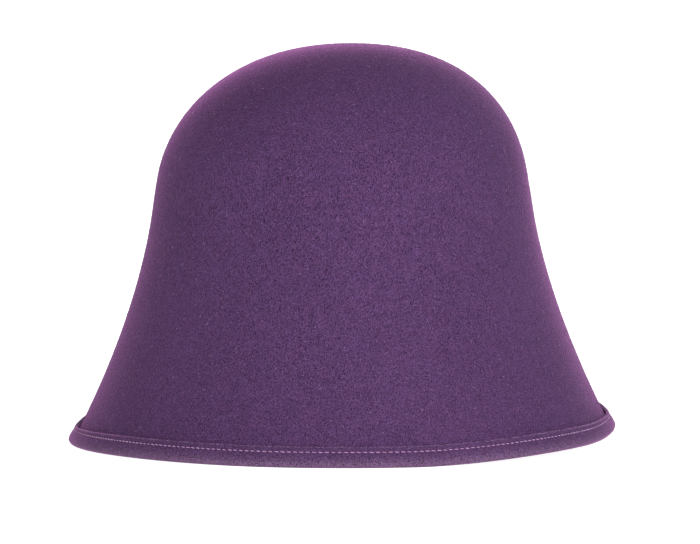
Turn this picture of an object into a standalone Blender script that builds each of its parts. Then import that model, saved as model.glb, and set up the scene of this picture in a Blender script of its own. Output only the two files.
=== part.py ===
"""A cloche hat: one blocked bell of felt, its edge turned up outside and stitched down as a hem.

Metres, +Z up. The hat stands on its brim, the middle of the brim is at the origin, and the
wearer's face looks towards -Y. The felt is drawn as an open sheet through its lining side: from
the top of the crown down the wall, round the fold at the brim's edge, and up the hem on the
outside. A Solidify modifier then gives the sheet the thickness of the felt.
"""

import math
from collections import namedtuple

import bmesh
import bpy
from mathutils import Vector

# The felt
FELT_THICKNESS = 0.0019
FELT_COLOUR = (0.100, 0.048, 0.130, 1.0)
FELT_ROUGHNESS = 0.95
FELT_SHEEN = 0.6

# The crown, measured inside the felt, as the hatter's block has it
HAT_HEIGHT = 0.1728  # from the table to the top of the crown, outside
BLOCK_WIDTH = 0.1580  # across the ears
BLOCK_LENGTH = 0.1880  # from forehead to nape
DOME_DEPTH = 0.0712  # from the top of the crown down to where its side turns upright
DOME_FULLNESS = 2.25  # 2 is an ellipse, and more is squarer
FRONT_NARROWING = 0.04  # a head is a little narrower at the forehead than behind
TOP_SHIFT = 0.0040  # the top of the crown leans this far to +X

# The flare of the bell, measured inside the felt
FLARE_DEPTH = 0.0560  # from the top of the crown down to where the spread starts
FLARE_CURVE = 1.62  # 1 spreads evenly, and more spreads late
MOUTH_WIDTH = 0.2335  # where the wall would meet the table
MOUTH_LENGTH = 0.2620
SIDE_SPREAD = 0.024  # +X spreads this share more than the middle, and -X as much less

# The brim's edge rests at front and back, and sweeps up a little at the sides
REST_ANGLE = math.radians(11)  # either way from front and from back, the edge lies flat
RIGHT_LIFT = 0.0062  # at +X
LEFT_LIFT = 0.0006  # at -X
LIFT_CURVE = 1.5

# The hem
HEM_HEIGHT = 0.0080  # up the wall, from the underside of the fold to the cut edge
STITCH_INSET = 0.0021  # from the cut edge down to the row of stitches
FOLD_GAP = 0.0010  # the hollow left inside the fold, between the two layers
FOLD_SETTLE = 0.00012  # how far the round of the fold is pressed flat on the table
STITCHED_GAP = 0.35  # what the stitches leave of the gap, as a share of it
CUT_EDGE_GAP = 0.50  # the cut edge springs open again

# How finely the sheet is cut
BEARINGS = 72
DOME_ROWS = 13
WALL_ROWS = 12
FOLD_STEPS_IN = 2  # from the wall's lining side to the flat
FOLD_STEPS_OUT = 4  # from the flat to the hem's face
FOLD_SEARCHES = 12
DIFFERENCE = 0.0001  # step of the differences that give the wall's directions
MERGE_DISTANCE = 0.000001

BELL_DEPTH = HAT_HEIGHT - FELT_THICKNESS
FOLD_RADIUS = FELT_THICKNESS + FOLD_GAP / 2
HEM_ABOVE_FOLD = HEM_HEIGHT - FOLD_RADIUS

Frame = namedtuple("Frame", "point down out")

HemRow = namedtuple("HemRow", "place height gap")
HEM_ROWS = (
    HemRow("end of the fold", 0, FOLD_GAP),
    HemRow("belly", (HEM_ABOVE_FOLD - STITCH_INSET) / 2, FOLD_GAP),
    HemRow("stitches", HEM_ABOVE_FOLD - STITCH_INSET, FOLD_GAP * STITCHED_GAP),
    HemRow("cut edge", HEM_ABOVE_FOLD, FOLD_GAP * CUT_EDGE_GAP),
)


def dome_share(depth):
    """How far out the dome has come: 0 at the top of the crown, 1 where its side is upright."""
    above_side = max(0.0, 1 - depth / DOME_DEPTH)
    return (1 - above_side**DOME_FULLNESS) ** (1 / DOME_FULLNESS)


def flare_share(depth):
    """How much of the spread is reached: 0 above the flare's start, 1 at the mouth."""
    run = (depth - FLARE_DEPTH) / (BELL_DEPTH - FLARE_DEPTH)
    return max(0.0, run) ** FLARE_CURVE


def wall_point(bearing, depth):
    """The lining side of the wall, at a bearing from the face and a depth below the top."""
    across, ahead = math.sin(bearing), math.cos(bearing)
    block = dome_share(depth) / 2
    flare = flare_share(depth) / 2 * (1 + SIDE_SPREAD * across)
    half_width = BLOCK_WIDTH * block + (MOUTH_WIDTH - BLOCK_WIDTH) * flare
    half_length = BLOCK_LENGTH * block + (MOUTH_LENGTH - BLOCK_LENGTH) * flare
    lean = TOP_SHIFT * max(0.0, 1 - depth / FLARE_DEPTH) ** 2
    x = lean + half_width * across * (1 - FRONT_NARROWING * ahead)
    return Vector((x, -half_length * ahead, BELL_DEPTH - depth))


def wall_frame(bearing, depth):
    """The wall's point there, with the unit vectors down the wall and out through the felt."""
    turn = DIFFERENCE / BLOCK_WIDTH
    down = wall_point(bearing, depth + DIFFERENCE) - wall_point(bearing, depth - DIFFERENCE)
    round_wall = wall_point(bearing + turn, depth) - wall_point(bearing - turn, depth)
    out = down.cross(round_wall)
    return Frame(wall_point(bearing, depth), down.normalized(), out.normalized())


def edge_lift(bearing):
    """How high the brim's edge stands off the table: nothing at front and back, most at the sides."""
    across = math.sin(bearing)
    flat = math.sin(REST_ANGLE)
    rise = max(0.0, abs(across) - flat) / (1 - flat)
    mean, difference = (RIGHT_LIFT + LEFT_LIFT) / 2, (RIGHT_LIFT - LEFT_LIFT) / 2
    return (mean + difference * across) * rise**LIFT_CURVE


def fold_start(bearing):
    """The depth at which the wall turns into the fold, so that the fold comes to its height."""
    depth = BELL_DEPTH
    for _ in range(FOLD_SEARCHES):
        frame = wall_frame(bearing, depth)
        reach = math.hypot(frame.down.z, frame.out.z)
        wanted = (FOLD_RADIUS - FOLD_SETTLE) * reach + edge_lift(bearing)
        depth += frame.point.z + frame.out.z * FOLD_RADIUS - wanted
    return depth


def wall_depths(mouth_depth):
    """The depths of the rows from the top of the crown to the fold, closer on the dome."""
    power = 2 / DOME_FULLNESS
    quarter = math.pi / 2
    dome = [1 - math.cos(quarter * i / DOME_ROWS) ** power for i in range(DOME_ROWS)]
    wall = [i / WALL_ROWS for i in range(WALL_ROWS + 1)]
    below = mouth_depth - DOME_DEPTH
    return [DOME_DEPTH * d for d in dome] + [DOME_DEPTH + below * w for w in wall]


def fold_points(frame):
    """The round of the fold, from the wall's lining side to the hem's face, with its flat."""
    centre = frame.point + frame.out * FOLD_RADIUS
    lowest = math.atan2(-frame.down.z, frame.out.z)
    half_flat = math.acos(1 - FOLD_SETTLE / FOLD_RADIUS)
    flat_in, flat_out = lowest - half_flat, lowest + half_flat
    inner = [flat_in * i / FOLD_STEPS_IN for i in range(1, FOLD_STEPS_IN + 1)]
    left_over = math.pi - flat_out
    outer = [flat_out + left_over * i / FOLD_STEPS_OUT for i in range(FOLD_STEPS_OUT)]
    points = []
    for angle in inner + outer:
        arm = frame.down * math.sin(angle) - frame.out * math.cos(angle)
        points.append(centre + arm * FOLD_RADIUS)
    return points


def hem_points(bearing, mouth_depth):
    """The hem's face, up the outside of the wall: the wall's felt, a gap and the hem's felt."""
    slope = -wall_frame(bearing, mouth_depth).down.z
    points = []
    for row in HEM_ROWS:
        frame = wall_frame(bearing, mouth_depth - row.height * slope)
        points.append(frame.point + frame.out * (2 * FELT_THICKNESS + row.gap))
    return points


def sheet_column(bearing):
    """One meridian of the felt sheet, from the top of the crown to the cut edge of the hem."""
    mouth_depth = fold_start(bearing)
    wall = [wall_point(bearing, depth) for depth in wall_depths(mouth_depth)]
    fold = fold_points(wall_frame(bearing, mouth_depth))
    return wall + fold + hem_points(bearing, mouth_depth)


def felt_sheet():
    """The open sheet of felt, lofted between its meridians and centred over the origin."""
    columns = [sheet_column(2 * math.pi * i / BEARINGS) for i in range(BEARINGS)]
    corners = [point for column in columns for point in column]
    middle_x = (min(p.x for p in corners) + max(p.x for p in corners)) / 2
    middle_y = (min(p.y for p in corners) + max(p.y for p in corners)) / 2
    middle = Vector((middle_x, middle_y, 0))

    sheet = bmesh.new()
    rails = [[sheet.verts.new(point - middle) for point in column] for column in columns]
    for here, beyond in zip(rails, rails[1:] + rails[:1]):
        for row in range(len(here) - 1):
            sheet.faces.new((here[row], here[row + 1], beyond[row + 1], beyond[row]))
    bmesh.ops.remove_doubles(sheet, verts=sheet.verts, dist=MERGE_DISTANCE)
    mesh = bpy.data.meshes.new("felt_body")
    sheet.to_mesh(mesh)
    sheet.free()
    mesh.shade_smooth()
    mesh.set_sharp_from_angle(angle=math.radians(50))
    return mesh


def felt_material():
    """Matt dyed wool felt, with the sheen of its short nap."""
    material = bpy.data.materials.new("wool_felt")
    material.use_nodes = True
    shader = material.node_tree.nodes["Principled BSDF"]
    shader.inputs["Base Color"].default_value = FELT_COLOUR
    shader.inputs["Roughness"].default_value = FELT_ROUGHNESS
    shader.inputs["Metallic"].default_value = 0.0
    shader.inputs["Sheen Weight"].default_value = FELT_SHEEN
    return material


def build():
    for old in list(bpy.data.objects):
        bpy.data.objects.remove(old)
    hat = bpy.data.collections.new("cloche_hat")
    bpy.context.scene.collection.children.link(hat)
    body = bpy.data.objects.new("felt_body", felt_sheet())
    body.data.materials.append(felt_material())
    hat.objects.link(body)
    felt = body.modifiers.new("Felt thickness", "SOLIDIFY")
    felt.thickness = FELT_THICKNESS
    felt.offset = 1
    felt.use_even_offset = True
    felt.use_quality_normals = True


build()
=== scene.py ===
# %% [markdown]
# # A cloche hat of wool felt
#
# The real hat starts as a cone of matted wool. It is steamed, pulled over a wooden block, and
# dries as one seamless bell. The only sewing is at the brim: the edge is turned up on the outside
# and one row of lilac stitches holds it down. So this lesson makes few pieces, and spends its
# care on their surfaces: the sweep of the bell, the soft roll of the hem, the little dimples
# that thread pulls into felt, and the dusty sheen of short nap.

# %% Load the frame
import math

import bpy
import numpy as np
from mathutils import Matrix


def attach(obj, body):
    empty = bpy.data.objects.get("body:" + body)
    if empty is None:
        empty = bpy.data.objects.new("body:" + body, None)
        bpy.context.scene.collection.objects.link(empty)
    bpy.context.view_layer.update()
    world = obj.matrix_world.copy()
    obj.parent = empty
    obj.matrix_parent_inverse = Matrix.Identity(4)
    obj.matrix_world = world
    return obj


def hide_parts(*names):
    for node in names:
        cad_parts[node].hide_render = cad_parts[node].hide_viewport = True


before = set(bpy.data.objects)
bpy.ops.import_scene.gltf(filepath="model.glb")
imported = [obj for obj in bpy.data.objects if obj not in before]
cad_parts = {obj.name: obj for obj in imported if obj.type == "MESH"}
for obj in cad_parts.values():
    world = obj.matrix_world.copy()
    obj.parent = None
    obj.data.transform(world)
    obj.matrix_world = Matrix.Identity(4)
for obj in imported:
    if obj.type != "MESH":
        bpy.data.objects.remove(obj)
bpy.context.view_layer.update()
BODY = "root"

# %% [markdown]
# ## The camera
#
# A product photographer stands well back with a long lens, so that the brim doesn't balloon.
# Here the eye is 1.6 m away and 4 degrees above the table. A lens is easier to set up as
# millimetres of hat to a pixel: how far the eye is, divided by that, is the focal length in
# pixels. The middle of the brim falls on a known pixel, and the camera is turned until it does.

# %% Camera
FRAME_WIDTH, FRAME_HEIGHT = 700, 544
BRIM_PIXEL = (342.0, 443.7)
METRES_PER_PIXEL = 0.0004326
EYE_DISTANCE = 1.6
EYE_ELEVATION = math.radians(4.2)
SENSOR_WIDTH = 36.0

focal_pixels = EYE_DISTANCE / METRES_PER_PIXEL
turn_up = math.atan((BRIM_PIXEL[1] - FRAME_HEIGHT / 2) / focal_pixels)
turn_right = math.atan((FRAME_WIDTH / 2 - BRIM_PIXEL[0]) / focal_pixels)

camera_data = bpy.data.cameras.new("portrait_camera")
camera_data.sensor_width = SENSOR_WIDTH
camera_data.lens = SENSOR_WIDTH * focal_pixels / FRAME_WIDTH
camera_data.clip_end = 50
camera = bpy.data.objects.new("portrait_camera", camera_data)
camera.location = (
    0, -EYE_DISTANCE * math.cos(EYE_ELEVATION), EYE_DISTANCE * math.sin(EYE_ELEVATION))
camera.rotation_euler = (math.pi / 2 - EYE_ELEVATION + turn_up, 0, -turn_right)
bpy.context.scene.collection.objects.link(camera)
bpy.context.scene.camera = camera
looking_down = math.degrees(EYE_ELEVATION - turn_up)
print(f"lens {camera_data.lens:.0f} mm, looking {looking_down:.1f} degrees down")

# %% [markdown]
# ## Small helpers
#
# A shape here is a grid of points worked out all at once. Two helpers turn such points into a
# Blender mesh: one for a mesh from points and faces, and one for a stack of rings, which joins
# each ring to the next. Two rings with the same count are joined by four-sided faces. Where a
# ring has twice as many points as its neighbour, each long edge gets three triangles, so fine
# detail and plain areas can live in one watertight skin.

# %% Mesh helpers
def make_piece(name, points, faces, material):
    """A mesh object at the origin from points (n, 3) and a list of face arrays (m, 3) or (m, 4)."""
    sizes = np.concatenate([np.full(len(f), f.shape[1]) for f in faces])
    corners = np.concatenate([f.ravel() for f in faces]).astype(np.int32)
    mesh = bpy.data.meshes.new(name)
    mesh.vertices.add(len(points))
    mesh.vertices.foreach_set("co", np.asarray(points, np.float32).ravel())
    mesh.loops.add(len(corners))
    mesh.loops.foreach_set("vertex_index", corners)
    mesh.polygons.add(len(sizes))
    first_corners = np.concatenate([[0], np.cumsum(sizes)[:-1]])
    mesh.polygons.foreach_set("loop_start", first_corners.astype(np.int32))
    mesh.polygons.foreach_set("loop_total", sizes.astype(np.int32))
    mesh.update(calc_edges=True)
    mesh.validate()
    mesh.shade_smooth()
    mesh.materials.append(material)
    piece = bpy.data.objects.new(name, mesh)
    bpy.context.scene.collection.objects.link(piece)
    triangles = int((sizes - 2).sum())
    print(f"{name}: {len(points)} points, {triangles} triangles")
    return piece


def set_attribute(piece, name, values):
    """One number for each point of the piece, which its material can read."""
    attribute = piece.data.attributes.new(name, "FLOAT", "POINT")
    attribute.data.foreach_set("value", np.asarray(values, np.float32))


def join_rings(start_a, count_a, start_b, count_b):
    """Faces between ring a and ring b below it: as many points, half, double, or a single one."""
    if count_a == 1:
        i = np.arange(count_b)
        return [np.stack([np.full(count_b, start_a), start_b + i, start_b + (i + 1) % count_b], 1)]
    if count_b == 1:
        i = np.arange(count_a)
        return [np.stack([start_a + i, np.full(count_a, start_b), start_a + (i + 1) % count_a], 1)]
    i = np.arange(min(count_a, count_b))
    if count_a == count_b:
        j = (i + 1) % count_a
        return [np.stack([start_a + i, start_b + i, start_b + j, start_a + j], 1)]
    if count_b == 2 * count_a:
        here, beyond = start_a + i, start_a + (i + 1) % count_a
        low, middle, high = start_b + 2 * i, start_b + 2 * i + 1, start_b + (2 * i + 2) % count_b
        corners = ((here, low, middle), (here, middle, beyond), (beyond, middle, high))
    elif count_a == 2 * count_b:
        here, beyond = start_b + i, start_b + (i + 1) % count_b
        low, middle, high = start_a + 2 * i, start_a + 2 * i + 1, start_a + (2 * i + 2) % count_a
        corners = ((low, here, middle), (middle, here, beyond), (middle, beyond, high))
    else:
        raise ValueError(f"rings of {count_a} and {count_b} points don't join")
    return [np.stack(triangle, 1) for triangle in corners]


def skin(rings):
    """Points and faces of a skin over a stack of rings, from its top to its bottom."""
    counts = [len(ring) for ring in rings]
    starts = np.concatenate([[0], np.cumsum(counts)])
    faces = []
    for k in range(len(rings) - 1):
        faces += join_rings(starts[k], counts[k], starts[k + 1], counts[k + 1])
    return np.vstack(rings), faces


def enclosed_volume(points, faces):
    """The volume inside closed faces: the sum of tetrahedra from the origin to each triangle."""
    total = 0.0
    for f in faces:
        for k in range(1, f.shape[1] - 1):
            a, b, c = points[f[:, 0]], points[f[:, k]], points[f[:, k + 1]]
            total += np.einsum("ij,ij->i", a, np.cross(b, c)).sum() / 6
    return total


def unit(vectors):
    """The vectors at length 1."""
    return vectors / np.linalg.norm(vectors, axis=-1, keepdims=True)


# %% [markdown]
# ## The bell
#
# The hatter's block gives the inside of the bell: a rounded dome, an upright stretch round the
# head, and then a flare that starts slowly and spreads faster towards the edge. Each level is
# an oval, a little narrower at the forehead. Two simple curves describe it, and the CAD part
# was drawn with the same ones. The sizes here were fitted once more, so the skin stays within
# about a millimetre of the solid, and its hem reaches a little higher, most of all behind.
#
# The brim isn't level. It rests on the table at front and back, sweeps up at the sides, and its
# hem is deeper behind, where it shows past the wall as a small step at each end of the brim.

# %% Sizes of the bell
FELT = 0.0017
HAT_HEIGHT = 0.1728
BLOCK_WIDTH, BLOCK_LENGTH = 0.1586, 0.1880
DOME_DEPTH, DOME_FULLNESS = 0.0697, 2.22
FRONT_NARROWING = 0.04
TOP_SHIFT, TOP_SHIFT_CURVE = 0.0037, 1.4
FLARE_DEPTH, FLARE_CURVE, SIDE_CURVE = 0.0563, 1.61, 0.03
MOUTH_WIDTH, MOUTH_LENGTH = 0.2331, 0.2624
SIDE_SPREAD = 0.0340
REST_ANGLE, LIFTED_ANGLE = math.radians(11), math.radians(60)
RIGHT_LIFT, LEFT_LIFT, SIDE_TO_SIDE = 0.0034, 0.0007, 3
RIGHT_PEAK, PEAK_POWER = 0.0034, 14
BACK_SWEEP, SWEEP_TO_RIGHT = 0.0028, 0.35
HEM_HEIGHT, STITCH_INSET = 0.0089, 0.0029
SIDE_CLOSER, CLOSER_POWER = 0.0012, 8
BACK_DEEPER, BEHIND_ANGLE = 0.0044, math.radians(27)
FOLD_GAP, FOLD_SETTLE = 0.0007, 0.00012

BELL_DEPTH = HAT_HEIGHT - FELT
FOLD_RADIUS = FELT + FOLD_GAP / 2
HEM_ABOVE_FOLD = HEM_HEIGHT - FOLD_RADIUS
STEP = 0.0001
FOLD_SEARCHES = 12


def smooth_step(run):
    """0 up to 0, 1 from 1 on, and 3 run^2 - 2 run^3 between."""
    run = np.clip(run, 0, 1)
    return run**2 * (3 - 2 * run)


def wall_point(bearing, depth):
    """The lining side: an oval whose half sizes are block * dome(depth) + spread * flare(depth).

    dome is (1 - (1 - depth / DOME_DEPTH) ^ n) ^ (1 / n), and flare is the share of the way from
    FLARE_DEPTH to the table, to a power of about FLARE_CURVE, a little less on the +X side.
    """
    across, ahead = np.sin(bearing), np.cos(bearing)
    above_side = np.clip(1 - depth / DOME_DEPTH, 0, 1)
    block = (1 - above_side**DOME_FULLNESS) ** (1 / DOME_FULLNESS) / 2
    run = np.clip((depth - FLARE_DEPTH) / (BELL_DEPTH - FLARE_DEPTH), 0, None)
    flare = run ** (FLARE_CURVE - SIDE_CURVE * across) / 2 * (1 + SIDE_SPREAD * across)
    half_width = BLOCK_WIDTH * block + (MOUTH_WIDTH - BLOCK_WIDTH) * flare
    half_length = BLOCK_LENGTH * block + (MOUTH_LENGTH - BLOCK_LENGTH) * flare
    lean = TOP_SHIFT * np.clip(1 - depth / FLARE_DEPTH, 0, None) ** TOP_SHIFT_CURVE
    x = lean + half_width * across * (1 - FRONT_NARROWING * ahead)
    return np.stack(np.broadcast_arrays(x, -half_length * ahead, BELL_DEPTH - depth), -1)


def wall_frame(bearing, depth):
    """The wall's point, with unit vectors down the wall and out of the felt, by differences."""
    turn = STEP / BLOCK_WIDTH
    down = wall_point(bearing, depth + STEP) - wall_point(bearing, depth - STEP)
    round_wall = wall_point(bearing + turn, depth) - wall_point(bearing - turn, depth)
    return wall_point(bearing, depth), unit(down), unit(np.cross(down, round_wall))


def edge_lift(bearing):
    """How high the edge stands off the table: nothing at front and back, most at the +X side.

    A smooth step from the resting angle to the lifted one, plus a high power of a sine at +X, plus
    a swell (4 b (1 - b))^2, where b goes from 0 at each side to 1 where the edge rests behind.
    """
    across = np.sin(bearing)
    run = (np.arcsin(np.abs(across)) - REST_ANGLE) / (LIFTED_ANGLE - REST_ANGLE)
    mean, difference = (RIGHT_LIFT + LEFT_LIFT) / 2, (RIGHT_LIFT - LEFT_LIFT) / 2
    step = (mean + difference * np.tanh(SIDE_TO_SIDE * across)) * smooth_step(run)
    back = np.clip(-np.cos(bearing) / math.cos(REST_ANGLE), 0, 1)
    sweep = BACK_SWEEP * (1 + SWEEP_TO_RIGHT * across) * (4 * back * (1 - back)) ** 2
    return step + RIGHT_PEAK * np.clip(across, 0, 1) ** PEAK_POWER + sweep


def fold_start(bearing):
    """The depth where the wall turns into the fold: moved down until the fold is at its height."""
    depth = np.full_like(bearing, BELL_DEPTH)
    for _ in range(FOLD_SEARCHES):
        point, down, out = wall_frame(bearing, depth)
        reach = np.hypot(down[..., 2], out[..., 2])
        wanted = (FOLD_RADIUS - FOLD_SETTLE) * reach + edge_lift(bearing)
        depth = depth + point[..., 2] + out[..., 2] * FOLD_RADIUS - wanted
    return depth


# The CAD part is centred on the middle of its box, so the same shift is measured here
around = np.linspace(0, 2 * np.pi, 720, endpoint=False)
rim_point, _, rim_out = wall_frame(around, fold_start(around))
rim_outside = rim_point + rim_out * (2 * FELT + FOLD_GAP)
MIDDLE = (rim_outside.max(0) + rim_outside.min(0)) / 2 * (1, 1, 0)
print("the brim is", np.round(np.ptp(rim_outside, axis=0)[:2] * 1000, 1), "mm")
print("shift to the middle of the box in mm:", np.round(MIDDLE * 1000, 2))

# %% [markdown]
# ## Even stitches
#
# A sewing machine feeds the felt at an even rate, so stitches are evenly spaced along the edge,
# and not evenly in angle. The row's length is added up round the brim, and the bearings at
# equal steps of it are read back. Every ring of the felt uses those bearings too, so that a
# needle hole always falls on the same column of points.

# %% Stations along the stitch row
STITCH_PITCH = 0.00255
STITCHES_STEP = 4  # their number is a multiple of this
COLUMNS_PER_STITCH = 4


def hem_frame(bearing, height):
    """Point and directions of the lining side at a height above the fold, along the wall."""
    mouth = fold_start(bearing)
    slope = -wall_frame(bearing, mouth)[1][..., 2]
    return wall_frame(bearing, mouth - height * slope)


def behind(bearing):
    """0 on the front half of the hat, and a smooth step to 1 behind its sides."""
    return smooth_step(-np.cos(bearing) / math.sin(BEHIND_ANGLE))


def row_height(bearing):
    """Height of the stitches above the fold: more behind, where the hem is deeper."""
    return HEM_ABOVE_FOLD - STITCH_INSET + BACK_DEEPER * behind(bearing)


def hem_top(bearing):
    """Height of the cut edge above the fold: an inset over the stitches, narrower at the sides."""
    return row_height(bearing) + STITCH_INSET - SIDE_CLOSER * np.sin(bearing) ** CLOSER_POWER


around = np.linspace(0, 2 * np.pi, 12 * 360 + 1)
row_point, _, row_out = hem_frame(around, row_height(around))
row_point = row_point + row_out * (2 * FELT)
row_length = np.concatenate([[0], np.cumsum(np.linalg.norm(np.diff(row_point, axis=0), axis=1))])
STITCHES = int(round(row_length[-1] / STITCH_PITCH / STITCHES_STEP) * STITCHES_STEP)


def bearing_at(share):
    """The bearing at a share of the way round the brim, by length along the stitch row."""
    return np.interp(np.mod(share, 1), row_length / row_length[-1], around)


print(f"the row is {row_length[-1] * 1000:.0f} mm long and takes {STITCHES} stitches")

# %% [markdown]
# ## Hand-made unevenness
#
# Nothing blocked by hand is perfectly even. A few long, low waves are laid over each surface.
# Each wave runs a whole number of times round the brim, so it closes on itself, and its phase
# comes from a seeded generator, so that the hat is the same each time.

# %% Waves
MOST_CLIMB = 60  # radians to a metre of height


def waves(share, height, low, high, count, seed):
    """A sum of cosines of mixed frequency round the hat and slow drift up it, about -1 to 1."""
    random = np.random.default_rng(seed)
    total = 0
    for turns in random.integers(low, high + 1, count):
        climb, phase = random.uniform(-MOST_CLIMB, MOST_CLIMB), random.uniform(0, 2 * np.pi)
        total = total + np.cos(2 * np.pi * turns * share + climb * height + phase)
    return total / math.sqrt(count)


# %% [markdown]
# ## The hem's face
#
# The hem is a strip of felt folded up against the wall. Between the fold and the stitches it
# puffs out a little, because felt resists a sharp crease. Under the thread it is drawn in, most
# at the needle holes. Above the stitches the cut edge springs away again, most at the sides,
# where the brim bends hardest, and there it is also trimmed closer to the row. All this is one
# function: how far the hem's face stands from the wall, by height and by place along the row.

# %% Profile of the hem
STITCHED_GAP, CUT_EDGE_GAP = 0.60, 0.40  # shares of the fold's gap
SIDE_SPRING, SPRING_POWER = 0.00060, 10
PUFF, PUFF_UNEVEN = 0.00010, 0.4
GROOVE_DEPTH, GROOVE_WIDTH = 0.00013, 0.00045
HOLE_DEPTH, HOLE_WIDTH = 0.00016, 0.00045
EDGE_THINNING = 0.00065


def thread_pull(share, from_row):
    """How far thread draws the felt in: a bell curve across the row, and one at each hole."""
    from_hole = (np.mod(share * STITCHES + 0.5, 1) - 0.5) * STITCH_PITCH
    groove = GROOVE_DEPTH * np.exp(-((from_row / GROOVE_WIDTH) ** 2))
    hole = np.exp(-((from_hole / HOLE_WIDTH) ** 2) - (from_row / HOLE_WIDTH) ** 2)
    return groove + HOLE_DEPTH * hole


def hem_runs(share, height):
    """The row's height, and how far on the way to it and past it to the cut edge, from 0 to 1."""
    row = row_height(bearing_at(share))
    return row, np.clip(height / row, 0, 1), np.clip((height - row) / STITCH_INSET, 0, 1)


def hem_stand(share, height):
    """How far the hem's face stands from the lining side.

    Two layers of felt and the gap between them, plus a half sine for the puff between fold and
    stitches, less the pull of the thread, and less a square for the thinning to the cut edge.
    """
    row, to_row, past_row = hem_runs(share, height)
    uneven = waves(share, 0, low=9, high=40, count=7, seed=3)
    puff = PUFF * np.sin(np.pi * to_row) * (1 + PUFF_UNEVEN * uneven)
    slack = puff - thread_pull(share, height - row) - EDGE_THINNING * past_row**2
    return hem_back(share, height) + FELT + slack


def hem_back(share, height):
    """How far the hidden side of the hem stands from the lining side: the wall's felt and the gap.

    Past the stitches the gap goes on to its width at the cut edge, which springs off at the sides.
    """
    _, to_row, past_row = hem_runs(share, height)
    narrowing = (STITCHED_GAP - 1) * smooth_step(to_row)
    spring = SIDE_SPRING * past_row * np.sin(bearing_at(share)) ** SPRING_POWER
    return FELT + FOLD_GAP * (1 + narrowing + (CUT_EDGE_GAP - STITCHED_GAP) * past_row) + spring


def hem_face(share, height):
    """A point of the hem's outer face, and the direction out of it."""
    point, _, out = hem_frame(bearing_at(share), height)
    return point + out * hem_stand(share, height)[..., None] - MIDDLE, out


# %% [markdown]
# ## One skin of felt
#
# The whole hat is one closed skin. A ring of points travels down the outside of the crown,
# slips behind the hem, turns in the hollow of the fold, climbs the hidden side of the hem,
# goes over the cut edge, down the hem's face, round under the fold, and up the lining side to
# the top again. Rings are fine where the stitches are, with four points to a stitch, and
# plain elsewhere.

# %% Rings of the felt
PLAIN, MIDDLING, FINE = 1, 2, COLUMNS_PER_STITCH
DOME_ROWS, WALL_ROWS = 44, 52
LINING_DOME_ROWS, LINING_WALL_ROWS = 34, 36
BLOCKING_WAVE, BLOCKING_FADE = 0.00016, 0.030


def shares(fineness):
    """Where a ring's points are, as shares of the way round."""
    return np.arange(STITCHES * fineness) / (STITCHES * fineness)


def crown_depths(rows):
    """Depths down the dome, closer at the top, where the dome turns fastest."""
    quarter_turn = np.pi / 2 * np.arange(1, rows + 1) / rows
    return DOME_DEPTH * (1 - np.cos(quarter_turn) ** (2 / DOME_FULLNESS))


plain_bearing = bearing_at(shares(PLAIN))
mouth_depth = fold_start(plain_bearing)


def wall_ring(depth, stand):
    """A ring of the wall at one depth, out from the lining by a stand and an unevenness."""
    point, _, out = wall_frame(plain_bearing, depth)
    fade = np.clip(depth / DOME_DEPTH, 0, 1) * np.clip((mouth_depth - depth) / BLOCKING_FADE, 0, 1)
    uneven = waves(shares(PLAIN), depth, low=2, high=14, count=9, seed=11)
    return point + out * (stand + BLOCKING_WAVE * fade * uneven)[..., None] - MIDDLE


def layer_ring(share, height, stand):
    """A ring between lining and hem, at a height above the fold and a stand out from the lining."""
    point, _, out = hem_frame(bearing_at(share), height)
    return point + out * np.broadcast_to(stand, share.shape)[..., None] - MIDDLE


def fold_ring(fineness, angle_share, radius):
    """A ring of the fold: an arc from the wall, at 0, under the edge and up to the hem, at 1.

    Points under the table's level are set on it, which gives the flat that the hat rests on.
    """
    bearing = bearing_at(shares(fineness))
    point, down, out = wall_frame(bearing, fold_start(bearing))
    angle = np.pi * angle_share
    arm = down * math.sin(angle) - out * math.cos(angle)
    ring = point + out * FOLD_RADIUS + arm * radius
    ring[:, 2] = np.maximum(ring[:, 2], 0)
    return ring - MIDDLE


# Painted underlight: how far up from the brim's lowest line a paler band is painted, for light from
# the table below and sheen on the roll
UNDERLIGHT_REACH = 0.0032
rings, cut_edge, painted_underlight, outer = [], [], [], []  # each ring's points, and a value for every one


def lay(ring, cut=0.0, shows=True):
    """Adds a ring to the skin, with its share of cut edge, and whether the outside shows it.

    Its painted underlight is a bell curve of the height over the lowest line of the brim's edge:
    a paler band there stands in for light from the glowing table and for sheen on the roll.
    """
    lift = edge_lift(bearing_at(np.arange(len(ring)) / len(ring)))
    rings.append(ring)
    cut_edge.append(np.full(len(ring), cut))
    painted_underlight.append(np.exp(-(((ring[:, 2] - lift) / UNDERLIGHT_REACH) ** 2)))
    outer.append(np.full(len(ring), shows))


# %% From the top of the crown to behind the hem
plain, middling, fine = shares(PLAIN), shares(MIDDLING), shares(FINE)
BEHIND_HEM = 0.0010
wall_foot = mouth_depth - hem_top(plain_bearing) - BEHIND_HEM
lay(wall_point(0.0, 0.0)[None] + (0, 0, FELT) - MIDDLE)
for depth in crown_depths(DOME_ROWS):
    lay(wall_ring(np.full(STITCHES, depth), FELT))
for step in np.arange(1, WALL_ROWS + 1) / WALL_ROWS:
    lay(wall_ring(DOME_DEPTH + (wall_foot - DOME_DEPTH) * step, FELT))

for part in (0.8, 0.4, 0.0):
    lay(layer_ring(plain, hem_top(plain_bearing) * part, FELT), shows=False)
for angle_share in (0.25, 0.5, 0.75, 1.0):
    lay(fold_ring(PLAIN, angle_share, FOLD_GAP / 2), shows=False)
for share, part in ((middling, 0.5), (fine, 0.85)):
    height = hem_top(bearing_at(share)) * part
    lay(layer_ring(share, height, hem_back(share, height)), shows=False)
print(f"{len(rings)} rings so far, down to the hidden side of the hem")

# %% [markdown]
# The cut edge was trimmed with shears and never bound, so it is a little wavy and its corners
# have worn round. It is half an oval from the hem's hidden side over to its face.

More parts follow.
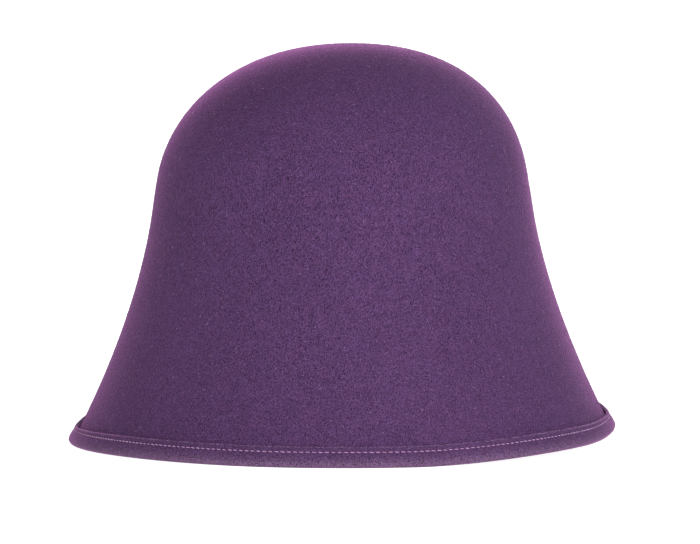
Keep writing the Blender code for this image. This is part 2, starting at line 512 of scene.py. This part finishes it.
# %% Cut edge and hem's face
EDGE_RINGS, FACE_RINGS, FOLD_RINGS = 7, 5, 15
FACE_START = 0.66  # of the height of the stitches
EDGE_ROUND, EDGE_OVAL = 0.22, 0.98
EDGE_WAVE, WAVE_LESS_AT_CORNER = 0.00009, 0.6
CORNER_CUT = 0.6  # how much of a cut edge the worn corners still are
ROW_OFFSETS = np.array([0.0012, 0.0007, 0.00035, 0.0, -0.00035, -0.0007, -0.0012])

fine_bearing = bearing_at(fine)
edge = hem_top(fine_bearing)
row = row_height(fine_bearing)
slow = waves(fine, 0, low=20, high=120, count=12, seed=5)
quick = waves(fine, 0, low=150, high=500, count=14, seed=6)
fray = EDGE_WAVE * (slow + quick)
for lean_out in np.linspace(-1, 1, EDGE_RINGS):
    rounding = 1 - math.sqrt(1 - (abs(lean_out) * EDGE_OVAL) ** 2)
    height = edge + fray * (1 - WAVE_LESS_AT_CORNER * rounding) - EDGE_ROUND * FELT * rounding
    hidden, face = hem_back(fine, edge), hem_stand(fine, edge)
    stand = hidden + (face - hidden) * (lean_out + 1) / 2
    lay(layer_ring(fine, height, stand), cut=1.0 - (1 - CORNER_CUT) * rounding)
for drop, cut in ((1.5, CORNER_CUT), (2.5, 0.1)):
    lay(hem_face(fine, edge - EDGE_ROUND * FELT * drop)[0], cut)
for offset in ROW_OFFSETS[1:]:
    lay(hem_face(fine, row + offset)[0])
for part in np.linspace(FACE_START, 0, FACE_RINGS):
    lay(hem_face(middling, row_height(bearing_at(middling)) * part)[0])
for angle_share in np.linspace(1, 0, FOLD_RINGS)[1:-1]:
    lay(fold_ring(MIDDLING, angle_share, FOLD_RADIUS))

# %% [markdown]
# From the fold the skin climbs the lining side, with its own fine rings where the lower thread
# of the stitches lies, and closes at the top of the crown.

# %% Lining and closing
LOWER_PULL = 0.7
ABOVE_ROW = 0.0040

lay(layer_ring(middling, np.zeros(len(middling)), 0.0), shows=False)
for offset in ROW_OFFSETS[::-1]:
    lay(layer_ring(fine, row + offset, LOWER_PULL * thread_pull(fine, offset)), shows=False)
lay(layer_ring(middling, row_height(bearing_at(middling)) + ABOVE_ROW / 2, 0.0), shows=False)
lining_foot = mouth_depth - row_height(plain_bearing) - ABOVE_ROW
for step in np.linspace(1, 0, LINING_WALL_ROWS):
    lay(wall_ring(DOME_DEPTH + (lining_foot - DOME_DEPTH) * step, 0.0), shows=False)
for depth in crown_depths(LINING_DOME_ROWS)[::-1][1:]:
    lay(wall_ring(np.full(STITCHES, depth), 0.0), shows=False)
lay(wall_point(0.0, 0.0)[None] - MIDDLE, shows=False)

felt_points, felt_faces = skin(rings)
volume = enclosed_volume(felt_points, felt_faces)
print(f"felt skin: {len(rings)} rings, {volume * 1e6:.0f} cubic centimetres")

# %% [markdown]
# ## The felt's finish
#
# Wool felt has no weave. Close to, it is a mat of short fibres dyed in slightly different
# shades, lying every way, with a lint of paler ones on top. Far off, that reads as a fine
# speckle. Light that grazes it catches the fibre tips, so the outline glows pinker than the
# middle: that is what the sheen of the shader is for. Its amount, tint and spread are the
# same all over, so they are set straight on the shader.

# %% Helpers for materials
def new_material(name, inputs):
    """A material with these values on its Principled shader, and its nodes, links and shader."""
    material = bpy.data.materials.new(name)
    material.use_nodes = True
    nodes, links = material.node_tree.nodes, material.node_tree.links
    shader = nodes["Principled BSDF"]
    for key, value in inputs.items():
        shader.inputs[key].default_value = value
    return material, nodes, links, shader


def add_node(nodes, kind, inputs=None, **settings):
    """A node of a kind, with settings as attributes and a dictionary of input values."""
    node = nodes.new(kind)
    for key, value in settings.items():
        setattr(node, key, value)
    for key, value in (inputs or {}).items():
        node.inputs[key].default_value = value
    return node


def noise(nodes, links, vector, size, detail=2.0, roughness=0.5):
    """Noise whose features are about a size in metres."""
    node = add_node(nodes, "ShaderNodeTexNoise", {
        "Scale": 1 / size, "Detail": detail, "Roughness": roughness})
    links.new(vector, node.inputs["Vector"])
    return node.outputs["Fac"]


def ramp(nodes, links, value, low, high):
    """The value stretched so that low becomes 0 and high becomes 1, and held there."""
    node = add_node(nodes, "ShaderNodeMapRange", {"From Min": low, "From Max": high})
    links.new(value, node.inputs["Value"])
    return node.outputs["Result"]


def combine(nodes, links, operation, first, second):
    """A sum, product or other operation of two values, either of which may be a plain number."""
    node = add_node(nodes, "ShaderNodeMath", operation=operation)
    for socket, value in zip(node.inputs, (first, second)):
        if isinstance(value, (int, float)):
            socket.default_value = value
        else:
            links.new(value, socket)
    return node.outputs["Value"]


def mix_colours(nodes, links, factor, first, second):
    """A blend of two colours, either of which may be a plain colour."""
    node = add_node(nodes, "ShaderNodeMix", data_type="RGBA")
    links.new(factor, node.inputs["Factor"])
    for socket, value in zip((node.inputs[6], node.inputs[7]), (first, second)):
        if isinstance(value, tuple):
            socket.default_value = value
        else:
            links.new(value, socket)
    return node.outputs[2]


def weighted_sum(nodes, links, parts):
    """The sum of value * weight over pairs of the two."""
    total = None
    for value, weight in parts:
        share = combine(nodes, links, "MULTIPLY", value, weight)
        total = share if total is None else combine(nodes, links, "ADD", total, share)
    return total


def object_place(nodes):
    """Where a point lies, in metres, in the frame that the whole hat shares."""
    return add_node(nodes, "ShaderNodeTexCoord").outputs["Object"]


def read_attribute(nodes, name):
    """The numbers that set_attribute stored on the piece."""
    return add_node(nodes, "ShaderNodeAttribute", attribute_name=name).outputs["Fac"]


def add_bump(nodes, links, shader, height, strength, distance):
    """Relief on the shader: a height of 1 stands for a distance in metres."""
    node = add_node(nodes, "ShaderNodeBump", {"Strength": strength, "Distance": distance})
    links.new(height, node.inputs["Height"])
    links.new(node.outputs["Normal"], shader.inputs["Normal"])


# %% Felt material
FELT_DARK = (0.004, 0.001, 0.008, 1)
FELT_BLUISH = (0.131, 0.060, 0.176, 1)
FELT_REDDISH = (0.138, 0.060, 0.171, 1)
FELT_LINT = (0.20, 0.12, 0.21, 1)
# The cut edge: paler raw fibres, and a painted highlight on its upward face
CUT_EDGE_COLOUR = (0.290, 0.180, 0.320, 1)
# Painted underlight: the colour and strength of the paler band low on the brim
UNDERLIGHT_COLOUR, UNDERLIGHT_SHARE = (0.300, 0.185, 0.280, 1), 0.38
FELT_SHEEN_TINT = (1.0, 0.34, 0.93, 1)
CLOUD_SIZE, BLUSH_SIZE, MOTTLE_SIZE, SPECKLE_SIZE = 0.045, 0.0050, 0.0045, 0.00045
LINT_SIZE = 0.0008
FIBRE_WIDTH, FIBRE_LENGTH = 0.00032, 0.0018
FIBRE_TURNS = ((0.3, 0.5, 0.1), (1.3, -0.4, 1.1), (-0.7, 1.2, 2.2))
FELT_RELIEF = 0.0003


def felt_material():
    """Matt wool: a sum of noises from dark to dyed, with lint, a frayed cut edge with a painted
    highlight, and painted underlight low on the brim.
    """
    material, nodes, links, shader = new_material("wool_felt", {
        "Roughness": 0.92, "Specular IOR Level": 0.08, "Sheen Weight": 0.50,
        "Sheen Roughness": 0.20, "Sheen Tint": FELT_SHEEN_TINT})
    where = object_place(nodes)

    # Shades of dye, from a hand's breadth down to single fibres
    cloud = noise(nodes, links, where, CLOUD_SIZE, 3)
    mottle = noise(nodes, links, where, MOTTLE_SIZE, 4, 0.6)
    blush = noise(nodes, links, where, BLUSH_SIZE, 1)
    speckle = noise(nodes, links, where, SPECKLE_SIZE, 1, 0.6)

    # Fibres: noise drawn out long in three directions, of which the brightest wins
    strands = None
    for turn in FIBRE_TURNS:
        place = add_node(nodes, "ShaderNodeMapping", {
            "Rotation": turn, "Scale": (1 / FIBRE_WIDTH, 1 / FIBRE_WIDTH, 1 / FIBRE_LENGTH)})
        links.new(where, place.inputs["Vector"])
        strand = noise(nodes, links, place.outputs["Vector"], 1.0, 1)
        strands = strand if strands is None else combine(nodes, links, "MAXIMUM", strands, strand)

    shade = weighted_sum(nodes, links, [
        (ramp(nodes, links, value, low, high), weight) for value, low, high, weight in (
            (cloud, 0.30, 0.70, 0.06), (mottle, 0.30, 0.70, 0.07),
            (speckle, 0.35, 0.67, 0.50), (strands, 0.50, 0.68, 0.37))])
    redder = ramp(nodes, links, blush, 0.35, 0.65)
    dyed = mix_colours(nodes, links, redder, FELT_BLUISH, FELT_REDDISH)
    colour = mix_colours(nodes, links, shade, FELT_DARK, dyed)

    # Pale lint, sparse, and the paler fibres of the cut edge, from the same noise; the cut edge's
    # pale colour is partly a painted highlight on its upward face
    tufts = noise(nodes, links, where, LINT_SIZE, 1)
    lint = ramp(nodes, links, tufts, 0.72, 0.82)
    colour = mix_colours(nodes, links, lint, colour, FELT_LINT)
    fray_and_painted_highlight = combine(nodes, links, "MULTIPLY", read_attribute(nodes, "cut_edge"),
                     ramp(nodes, links, tufts, 0.42, 0.66))
    colour = mix_colours(nodes, links, fray_and_painted_highlight, colour, CUT_EDGE_COLOUR)

    # Painted underlight: a paler band along the lowest line of the brim, broken up by the speckle,
    # stands in for light from the glowing table and for sheen on the roll of the fold
    underlight_speckle = combine(nodes, links, "MULTIPLY", ramp(nodes, links, speckle, 0.30, 0.60), UNDERLIGHT_SHARE)
    underlight_mask = combine(nodes, links, "MULTIPLY", read_attribute(nodes, "painted_underlight"), underlight_speckle)
    colour = mix_colours(nodes, links, underlight_mask, colour, UNDERLIGHT_COLOUR)
    links.new(colour, shader.inputs["Base Color"])

    # Relief: matted fibres over a slightly pebbly body
    relief = weighted_sum(nodes, links, ((mottle, 0.5), (speckle, 0.45), (strands, 0.5)))
    add_bump(nodes, links, shader, relief, 0.8, FELT_RELIEF)
    return material


WOOL = felt_material()
felt_bell = make_piece("felt_bell", felt_points, felt_faces, WOOL)
set_attribute(felt_bell, "cut_edge", np.concatenate(cut_edge))
# The painted underlight band low on the brim, as a number on each point
set_attribute(felt_bell, "painted_underlight", np.concatenate(painted_underlight))
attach(felt_bell, BODY)
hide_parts("felt_body")

# %% [markdown]
# ## The thread
#
# A lockstitch leaves the same mark on both sides: a short arch of thread from one needle hole
# to the next. Each stitch here is a bent tube that rises out of the felt, bridges the groove
# and dives again, leaning a few degrees, because the twist of the thread pulls it round. The
# tubes of a whole row are one array: stitch by stitch, along by along, and round by round.

# %% Tubes
def tubes(lines, outward, radii, sides):
    """Closed tubes round many lines at once, and how far round and along each point is.

    Every point of a line gets a ring in the plane across the line, and each end a fan. The lines
    are (count, along, 3), with a direction out of the felt for each point, and the radii are
    (count, along).
    """
    count, along = radii.shape
    forward = unit(np.gradient(lines, axis=1))
    side = unit(np.cross(outward, forward))
    upward = np.cross(forward, side)
    turn = np.arange(sides) / sides
    angle = 2 * np.pi * turn[:, None]
    arms = np.cos(angle) * side[:, :, None] + np.sin(angle) * upward[:, :, None]
    points = (lines[:, :, None] + arms * radii[:, :, None, None]).reshape(-1, 3)

    def corner(tube, row, place):
        return (tube * along + row) * sides + place % sides

    t, r, p = np.meshgrid(
        np.arange(count), np.arange(along - 1), np.arange(sides), indexing="ij")
    steps = ((0, 0), (0, 1), (1, 1), (1, 0))
    walls = np.stack([corner(t, r + row, p + place) for row, place in steps], -1)
    t, p = np.meshgrid(np.arange(count), np.arange(1, sides - 1), indexing="ij")
    end = along - 1
    first = np.stack([corner(t, 0, 0), corner(t, 0, p + 1), corner(t, 0, p)], -1)
    last = np.stack([corner(t, end, 0), corner(t, end, p), corner(t, end, p + 1)], -1)
    faces = [walls.reshape(-1, 4), first.reshape(-1, 3), last.reshape(-1, 3)]
    run, round_tube = np.meshgrid(np.linspace(0, 1, along), turn, indexing="ij")
    return points, faces, np.tile(run.ravel(), count), np.tile(round_tube.ravel(), count)


# %% Stitches
THREAD_RADIUS = 0.00020
STITCH_SHARE = 0.78
STITCH_RISE, STITCH_SINK, SIDE_TIGHTER = 0.00016, 0.00030, 0.00022
TIGHTER_POWER = 12
STITCH_LEAN = 0.10
ARCH_POWER = 0.7
TAPER, THINNEST = 2.4, 0.25
TENSION_UNEVEN = 0.35
STITCH_POINTS, STITCH_SIDES = 7, 7
PLY_TURNS = 3.0


def row_of_stitches(surface, seed):
    """A row of arched tubes, with the twist of the thread and a shade for each stitch.

    The middle line of a stitch goes along the row by a share of the pitch. It stands off the
    surface by a power of half a sine, less the sink at its ends, and it is drawn tighter where
    the brim bends at the sides. Its radius narrows at both ends.
    """
    random = np.random.default_rng(seed)
    along = np.linspace(0, 1, STITCH_POINTS)
    length = STITCH_SHARE * random.uniform(0.90, 1.08, STITCHES)[:, None]
    share = (np.arange(STITCHES)[:, None] + 0.5 + (along - 0.5) * length) / STITCHES
    lean = STITCH_LEAN * STITCH_PITCH * random.uniform(0.4, 1.4, STITCHES)[:, None]
    base, out = surface(share, row_height(bearing_at(share)) + (0.5 - along) * lean)
    tension = 1 + TENSION_UNEVEN * waves(share.mean(1), 0, low=8, high=90, count=9, seed=seed)
    rise = (STITCH_RISE * tension * random.uniform(0.8, 1.25, STITCHES))[:, None]
    tighter = SIDE_TIGHTER * np.sin(bearing_at(share)) ** TIGHTER_POWER
    arch = np.sin(np.pi * along)
    off = arch**ARCH_POWER * (rise + STITCH_SINK) - STITCH_SINK - tighter
    thickness = random.uniform(0.88, 1.08, STITCHES)[:, None]
    radii = THREAD_RADIUS * thickness * np.clip(arch * TAPER, THINNEST, 1)
    points, faces, run, round_tube = tubes(base + out * off[..., None], out, radii, STITCH_SIDES)
    paleness = random.uniform(0, 1, STITCHES) * np.clip(tension, 0, 1)
    shade = np.repeat(paleness, STITCH_POINTS * STITCH_SIDES)
    return points, faces, run * PLY_TURNS + round_tube, shade


def lining_face(share, height):
    """A point of the lining side, and the direction into the hat."""
    point, _, out = hem_frame(bearing_at(share), height)
    return point - MIDDLE, -out


# %% Thread material
THREAD_LIGHT = (0.50, 0.26, 0.47, 1)
THREAD_DARK = (0.22, 0.095, 0.22, 1)
THREAD_RELIEF = 0.00008


def thread_material():
    """Mercerised sewing thread: pale lilac, with painted shade between its plies, and a soft gloss.
    """
    material, nodes, links, shader = new_material(
        "lilac_thread", {"Roughness": 0.55, "Sheen Weight": 0.3})
    ply = combine(nodes, links, "PINGPONG", read_attribute(nodes, "twist"), 0.5)
    ply = ramp(nodes, links, ply, 0.0, 0.35)
    shade = ramp(nodes, links, read_attribute(nodes, "shade"), -1.0, 1.0)
    # Painted shade: the colour goes dark between the plies, and each stitch's own shade dims it
    # further
    tone = combine(nodes, links, "MULTIPLY", ply, shade)
    colour = mix_colours(nodes, links, tone, THREAD_DARK, THREAD_LIGHT)
    links.new(colour, shader.inputs["Base Color"])
    add_bump(nodes, links, shader, ply, 0.5, THREAD_RELIEF)
    return material


LILAC = thread_material()
for name, surface, seed in (("hem_topstitch", hem_face, 21), ("hem_understitch", lining_face, 22)):
    thread_points, thread_faces, twist, shade = row_of_stitches(surface, seed)
    row = make_piece(name, thread_points, thread_faces, LILAC)
    set_attribute(row, "shade", shade)
    set_attribute(row, "twist", twist)
    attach(row, BODY)
    print(f"{name}: volume {enclosed_volume(thread_points, thread_faces) * 1e9:.0f} cubic mm")

# %% [markdown]
# ## Stray fibres
#
# Felt sheds. Under a lens, single fibres lie loose on the surface, paler where the dye didn't
# take, and they make the grain livelier than noise alone can. Places are drawn evenly over the
# felt's outer faces, by area, but not so low that a fibre could dip under the table. Each fibre
# is a slightly bent tube that starts in the felt, rises off it by a tenth of a millimetre or so,
# and ends in it again.

# %% Stray fibres
FIBRE_COUNT = 7400
FIBRE_RADIUS, FIBRE_SINK = 0.000045, 0.00006
FIBRE_LENGTHS, FIBRE_RISES = (0.0006, 0.0019), (0.00002, 0.00016)
FIBRE_BENDS = (-0.35, 0.35)  # as shares of the length
FIBRE_POINTS, FIBRE_SIDES = 5, 3
FIBRE_FREE_HEIGHT = 0.0012


def places_on(points, faces, count, random):
    """Even random places on four-sided faces: chosen by area, then at two shares of each face."""
    a, b, c, d = (points[faces[:, k]] for k in range(4))
    area = np.linalg.norm(np.cross(c - a, d - b), axis=1)
    chosen = random.choice(len(faces), count, p=area / area.sum())
    u, v = random.uniform(0, 1, (2, count, 1))
    a, b, c, d = a[chosen], b[chosen], c[chosen], d[chosen]
    place = (a * (1 - u) + d * u) * (1 - v) + (b * (1 - u) + c * u) * v
    return place, unit(d - a), unit(np.cross(b - a, d - a))


def stray_fibres(points, faces, seed):
    """Bent tubes that lie on the faces: a line in the face, plus a bend and half a sine of rise."""
    random = np.random.default_rng(seed)
    place, sideways, out = places_on(points, faces, FIBRE_COUNT, random)
    turn, length, bend, rise = (
        random.uniform(low, high, (FIBRE_COUNT, 1))
        for low, high in ((0, 2 * np.pi), FIBRE_LENGTHS, FIBRE_BENDS, FIBRE_RISES))
    upways = np.cross(out, sideways)
    along_fibre = sideways * np.cos(turn) + upways * np.sin(turn)
    across_fibre = np.cross(out, along_fibre)
    run = np.linspace(-0.5, 0.5, FIBRE_POINTS)
    arch = np.cos(np.pi * run)
    steps = ((along_fibre, run * length), (across_fibre, bend * length * arch),
             (out, (rise + FIBRE_SINK) * arch - FIBRE_SINK))
    lines = place[:, None] + sum(way[:, None] * step[..., None] for way, step in steps)
    outward = np.broadcast_to(out[:, None], lines.shape)
    radii = FIBRE_RADIUS * random.uniform(0.6, 1.3, (FIBRE_COUNT, 1)) * (0.4 + 0.6 * arch)
    points, faces, _, _ = tubes(lines, outward, radii, FIBRE_SIDES)
    paleness = random.uniform(0, 1, FIBRE_COUNT) ** 3
    return points, faces, np.repeat(paleness, FIBRE_POINTS * FIBRE_SIDES)


FIBRE_DYED = (0.16, 0.075, 0.19, 1)
FIBRE_PALE = (0.52, 0.38, 0.53, 1)
FIBRE_PATCH_SIZE = 0.0012


def fibre_material():
    """Wool fibres: dyed to pale by the attribute, with a slow change of shade along them."""
    material, nodes, links, shader = new_material(
        "loose_wool", {"Roughness": 0.7, "Specular IOR Level": 0.2})
    patches = noise(nodes, links, object_place(nodes), FIBRE_PATCH_SIZE, 1)
    tone = combine(nodes, links, "MULTIPLY", read_attribute(nodes, "paleness"),
                   ramp(nodes, links, patches, 0.3, 0.6))
    colour = mix_colours(nodes, links, tone, FIBRE_DYED, FIBRE_PALE)
    links.new(colour, shader.inputs["Base Color"])
    return material


four_sided = np.vstack([f for f in felt_faces if f.shape[1] == 4])
outer_faces = four_sided[np.concatenate(outer)[four_sided].all(1)]
outer_faces = outer_faces[felt_points[outer_faces][..., 2].min(1) > FIBRE_FREE_HEIGHT]
fibre_points, fibre_faces, paleness = stray_fibres(felt_points, outer_faces, 31)
fibres = make_piece("stray_fibres", fibre_points, fibre_faces, fibre_material())
set_attribute(fibres, "paleness", paleness)
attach(fibres, BODY)

# %% [markdown]
# ## The studio
#
# Shops photograph hats on a white table that glows from beneath, in a white room. Then table and
# background come out as one clean white, and no shadow is left under the brim. The light on the
# hat itself comes from a large soft box near the camera, a little to its right. A second one
# behind the hat brightens its rims. The ceiling is dimmer than the walls, which keeps the top of
# the crown from washing out.

# %% Table
TABLE_RADIUS, TABLE_RINGS, TABLE_SPOKES = 12.0, 24, 96
TABLE_GLOW = 0.95
TABLE_DARK, TABLE_PALE = (0.42, 0.42, 0.42, 1), (0.46, 0.46, 0.46, 1)


def disc(radius, ring_count, spokes):
    """A flat disc: rings whose distance from the middle grows with the square of their number."""
    turn = np.arange(spokes) / spokes * 2 * np.pi
    edge = np.stack([np.cos(turn), np.sin(turn), np.zeros(spokes)], 1)
    steps = np.arange(1, ring_count + 1) / ring_count
    return [np.zeros((1, 3))] + [edge * radius * step**2 for step in steps]


def table_material():
    """White acrylic, faintly clouded, lit from beneath."""
    material, nodes, links, shader = new_material("lit_acrylic", {
        "Roughness": 0.9, "Specular IOR Level": 0.1,
        "Emission Color": (1, 1, 1, 1), "Emission Strength": TABLE_GLOW})
    cloud = ramp(nodes, links, noise(nodes, links, object_place(nodes), 0.3, 3), 0.2, 0.8)
    colour = mix_colours(nodes, links, cloud, TABLE_DARK, TABLE_PALE)
    links.new(colour, shader.inputs["Base Color"])
    return material


table_points, table_faces = skin(disc(TABLE_RADIUS, TABLE_RINGS, TABLE_SPOKES))
table = make_piece("studio_table", table_points, table_faces, table_material())

# %% Lights
BACKDROP_LIGHT, RIGHT_LIGHT, LEFT_LIGHT, CEILING_SHARE = 1.40, 0.90, 0.85, 0.70


def soft_box(name, place, size, power):
    """A square area light at a place, turned to face the hat, out of the camera's sight."""
    light = bpy.data.lights.new(name, "AREA")
    light.shape = "SQUARE"
    light.size = size
    light.energy = power
    lamp = bpy.data.objects.new(name, light)
    lamp.location = place
    across, along, up = np.array([0, 0, HAT_HEIGHT / 2]) - place
    from_below = math.atan2(math.hypot(across, along), -up)
    lamp.rotation_euler = (from_below, 0, math.atan2(-across, along))
    lamp.visible_camera = False
    bpy.context.scene.collection.objects.link(lamp)


def white_room():
    """A world whose strength goes by direction: from wall to wall, down to the ceiling's share.

    Within about 40 degrees of +Y it is the backdrop, which is lit on its own.
    """
    world = bpy.data.worlds.new("white_room")
    world.use_nodes = True
    nodes, links = world.node_tree.nodes, world.node_tree.links
    parts = add_node(nodes, "ShaderNodeSeparateXYZ")
    links.new(add_node(nodes, "ShaderNodeTexCoord").outputs["Generated"], parts.inputs["Vector"])

    def by_direction(axis, low, high, at_low, at_high):
        node = add_node(nodes, "ShaderNodeMapRange", {
            "From Min": low, "From Max": high, "To Min": at_low, "To Max": at_high})
        links.new(parts.outputs[axis], node.inputs["Value"])
        return node.outputs["Result"]

    walls = combine(nodes, links, "MULTIPLY", by_direction("X", -1, 1, LEFT_LIGHT, RIGHT_LIGHT),
                    by_direction("Z", 0.15, 0.9, 1, CEILING_SHARE))
    backdrop = combine(nodes, links, "MULTIPLY", by_direction("Y", 0.75, 0.95, 0, 1),
                       combine(nodes, links, "SUBTRACT", BACKDROP_LIGHT, walls))
    links.new(combine(nodes, links, "ADD", walls, backdrop), nodes["Background"].inputs["Strength"])
    nodes["Background"].inputs["Color"].default_value = (1, 1, 1, 1)
    return world


soft_box("key_box", place=(0.80, -2.25, 0.60), size=1.1, power=40)
soft_box("back_box", place=(0.9, 2.2, 0.9), size=1.2, power=14)
bpy.context.scene.world = white_room()
bpy.context.scene.view_settings.view_transform = "Standard"
